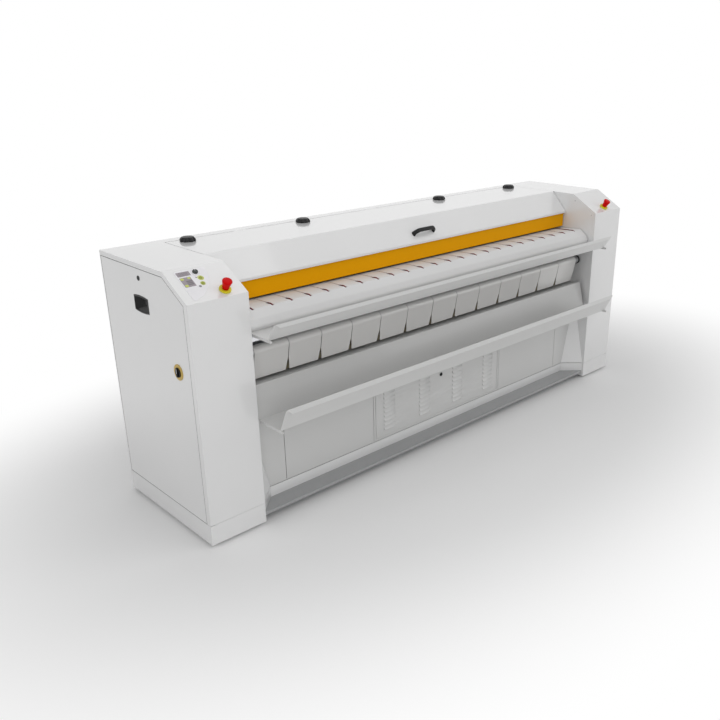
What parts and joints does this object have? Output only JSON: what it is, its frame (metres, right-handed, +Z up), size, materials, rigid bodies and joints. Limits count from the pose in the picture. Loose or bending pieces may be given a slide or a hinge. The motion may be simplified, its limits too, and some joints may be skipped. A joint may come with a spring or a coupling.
{
  "type": "flatwork ironer",
  "caption": "Flatwork ironer with a heated roll between two end cabinets, corded feed table, finger guard, hood, linen trays and a chute.",
  "frame": {"origin": "centre of the footprint's bounding box, on the floor under the feet", "axes": "+X along the roll towards the drive cabinet, +Y from the operator's side to the rear, +Z up"},
  "size_m": [3.2244, 1.009, 1.2663],
  "materials": {
    "white_paint": "glossy powder coat",
    "grey_paint": "satin",
    "bare_steel": "brushed",
    "polished_roll": "polished",
    "zinc_sheet": "satin",
    "belt_cloth": "woven",
    "red_cord": "smooth",
    "black_plastic": "fine grain",
    "foot_rubber": "smooth",
    "yellow_paint": "satin",
    "yellow_plastic": "smooth",
    "red_plastic": "smooth",
    "green_plastic": "smooth",
    "panel_film": "satin film"
  },
  "bodies": {
    "machine": {"left_cabinet": "white_paint", "right_cabinet": "white_paint", "plinths": "white_paint", "frame_plates": "white_paint", "kick_strip": "white_paint", "front_panels": "white_paint", "front_cheeks": "white_paint", "rear_cover": "white_paint", "right_side_cover": "white_paint", "upper_tray": "white_paint", "lower_tray": "white_paint", "feed_table": "white_paint", "base_plate": "grey_paint", "bearing_housings": "grey_paint", "electrical_box": "grey_paint", "gearmotor": "grey_paint", "cross_beams": "bare_steel", "cord_guide_bar": "bare_steel", "chute_plate": "bare_steel", "tongue_tube": "bare_steel", "drive_chain": "bare_steel", "heater_bundle": "bare_steel", "screws": "bare_steel", "fan_housing": "zinc_sheet", "ironing_belts": "belt_cloth", "guide_cords": "red_cord", "tongue_caps": "black_plastic", "cable_gland": "black_plastic", "feet": "foot_rubber", "stop_collars": "yellow_plastic", "control_panel": "panel_film"},
    "roll": {"ironing_roll": "polished_roll", "roll_sprocket": "bare_steel"},
    "feed": {"feed_roller": "bare_steel"},
    "nip": {"nip_roller": "bare_steel"},
    "outlet": {"outlet_roller": "bare_steel"},
    "return": {"return_roller": "bare_steel"},
    "tension": {"tension_roller": "bare_steel"},
    "motor": {"motor_sprocket": "bare_steel"},
    "impeller": {"fan_impeller": "zinc_sheet"},
    "tongues": {"doffer_tongues": "bare_steel"},
    "hood": {"hood_lid": "white_paint", "hood_handle": "black_plastic"},
    "knob_1": {"hood_knob_1": "black_plastic"},
    "knob_2": {"hood_knob_2": "black_plastic"},
    "knob_3": {"hood_knob_3": "black_plastic"},
    "knob_4": {"hood_knob_4": "black_plastic"},
    "guard": {"finger_guard": "yellow_paint"},
    "side_door": {"left_side_door": "white_paint", "door_pull": "black_plastic", "switch_plate": "yellow_plastic"},
    "side_door_lock": {"side_lock": "black_plastic"},
    "main_switch": {"switch_handle": "black_plastic"},
    "front_door": {"louvred_door": "white_paint"},
    "front_door_lock": {"louvred_door_lock": "black_plastic"},
    "stop_left": {"stop_button_left": "red_plastic"},
    "stop_right": {"stop_button_right": "red_plastic"},
    "dial": {"speed_dial": "black_plastic"},
    "start": {"start_button": "green_plastic"},
    "reverse": {"reverse_button": "green_plastic"}
  },
  "joints": [
    {"name": "roll_spin", "type": "hinge", "parent": "machine", "child": "roll", "pos_m": [0.00475, 0.0165, 0.815], "axis": [1, 0, 0], "continuous": true},
    {"name": "feed_roller_spin", "type": "hinge", "parent": "machine", "child": "feed", "pos_m": [0.00475, -0.1955, 0.999], "axis": [1, 0, 0], "continuous": true},
    {"name": "nip_roller_spin", "type": "hinge", "parent": "machine", "child": "nip", "pos_m": [0.00475, 0.06945, 1.01263], "axis": [1, 0, 0], "continuous": true},
    {"name": "outlet_roller_spin", "type": "hinge", "parent": "machine", "child": "outlet", "pos_m": [0.00475, -0.10085, 0.6474], "axis": [1, 0, 0], "continuous": true},
    {"name": "return_roller_spin", "type": "hinge", "parent": "machine", "child": "return", "pos_m": [0.00475, 0.2865, 0.615], "axis": [1, 0, 0], "continuous": true},
    {"name": "tension_roller_spin", "type": "hinge", "parent": "machine", "child": "tension", "pos_m": [0.00475, 0.2865, 1.025], "axis": [1, 0, 0], "continuous": true},
    {"name": "motor_spin", "type": "hinge", "parent": "machine", "child": "motor", "pos_m": [0.00475, 0.0165, 0.425], "axis": [1, 0, 0], "continuous": true},
    {"name": "fan_spin", "type": "hinge", "parent": "machine", "child": "impeller", "pos_m": [0.00475, 0.3865, 1.105], "axis": [0, 1, 0], "continuous": true},
    {"name": "tongue_lift", "type": "hinge", "parent": "machine", "child": "tongues", "pos_m": [0.00475, -0.2025, 0.825], "axis": [-1, 0, 0], "range_deg": [0, 20]},
    {"name": "hood_open", "type": "hinge", "parent": "machine", "child": "hood", "pos_m": [0.00475, 0.3765, 1.241], "axis": [-1, 0, 0], "range_deg": [0, 75]},
    {"name": "guard_swing", "type": "hinge", "parent": "machine", "child": "guard", "pos_m": [0.00475, -0.0655, 1.11], "axis": [1, 0, 0], "range_deg": [0, 15]},
    {"name": "side_door_tilt", "type": "hinge", "parent": "machine", "child": "side_door", "pos_m": [-1.60025, 0.0825, 0.1154], "axis": [0, -1, 0], "range_deg": [0, 30]},
    {"name": "side_door_lock_turn", "type": "hinge", "parent": "side_door", "child": "side_door_lock", "pos_m": [-1.60025, 0.0825, 1.179], "axis": [1, 0, 0], "range_deg": [0, 90]},
    {"name": "main_switch_turn", "type": "hinge", "parent": "side_door", "child": "main_switch", "pos_m": [-1.60025, -0.1835, 0.818], "axis": [1, 0, 0], "range_deg": [0, 90]},
    {"name": "front_door_tilt", "type": "hinge", "parent": "machine", "child": "front_door", "pos_m": [0.00475, -0.2015, 0.128], "axis": [1, 0, 0], "range_deg": [0, 30]},
    {"name": "front_door_lock_turn", "type": "hinge", "parent": "front_door", "child": "front_door_lock", "pos_m": [0.00475, -0.2015, 0.366], "axis": [0, 1, 0], "range_deg": [0, 90]},
    {"name": "speed_dial_turn", "type": "hinge", "parent": "machine", "child": "dial", "pos_m": [-1.46714, -0.16608, 1.22581], "axis": [0, 0.5074, -0.8617], "range_deg": [0, 270]},
    {"name": "stop_left_push", "type": "slide", "parent": "machine", "child": "stop_left", "axis": [0, 0.5074, -0.8617], "range_m": [0, 0.004], "stiffness_N_per_m": 1500},
    {"name": "stop_right_push", "type": "slide", "parent": "machine", "child": "stop_right", "axis": [0, 0.5074, -0.8617], "range_m": [0, 0.004], "stiffness_N_per_m": 1500},
    {"name": "start_push", "type": "slide", "parent": "machine", "child": "start", "axis": [0, 0.5074, -0.8617], "range_m": [0, 0.0015], "stiffness_N_per_m": 800},
    {"name": "reverse_push", "type": "slide", "parent": "machine", "child": "reverse", "axis": [0, 0.5074, -0.8617], "range_m": [0, 0.0015], "stiffness_N_per_m": 800},
    {"name": "knob_1_turn", "type": "hinge", "parent": "hood", "child": "knob_1", "pos_m": [-1.21294, 0.3315, 1.245], "axis": [0, 0, -1], "range_deg": [0, 90]},
    {"name": "knob_2_turn", "type": "hinge", "parent": "hood", "child": "knob_2", "pos_m": [-0.52519, 0.3315, 1.245], "axis": [0, 0, -1], "range_deg": [0, 90]},
    {"name": "knob_3_turn", "type": "hinge", "parent": "hood", "child": "knob_3", "pos_m": [0.5347, 0.3315, 1.245], "axis": [0, 0, -1], "range_deg": [0, 90]},
    {"name": "knob_4_turn", "type": "hinge", "parent": "hood", "child": "knob_4", "pos_m": [1.22244, 0.3315, 1.245], "axis": [0, 0, -1], "range_deg": [0, 90]}
  ],
  "couplings": [
    {"joint": "feed_roller_spin", "follows": "roll_spin", "ratio": 6.3869},
    {"joint": "nip_roller_spin", "follows": "roll_spin", "ratio": -6.4945},
    {"joint": "outlet_roller_spin", "follows": "roll_spin", "ratio": -6.4945},
    {"joint": "return_roller_spin", "follows": "roll_spin", "ratio": -5.4892},
    {"joint": "tension_roller_spin", "follows": "roll_spin", "ratio": -5.4892},
    {"joint": "motor_spin", "follows": "roll_spin", "ratio": 3}
  ]
}
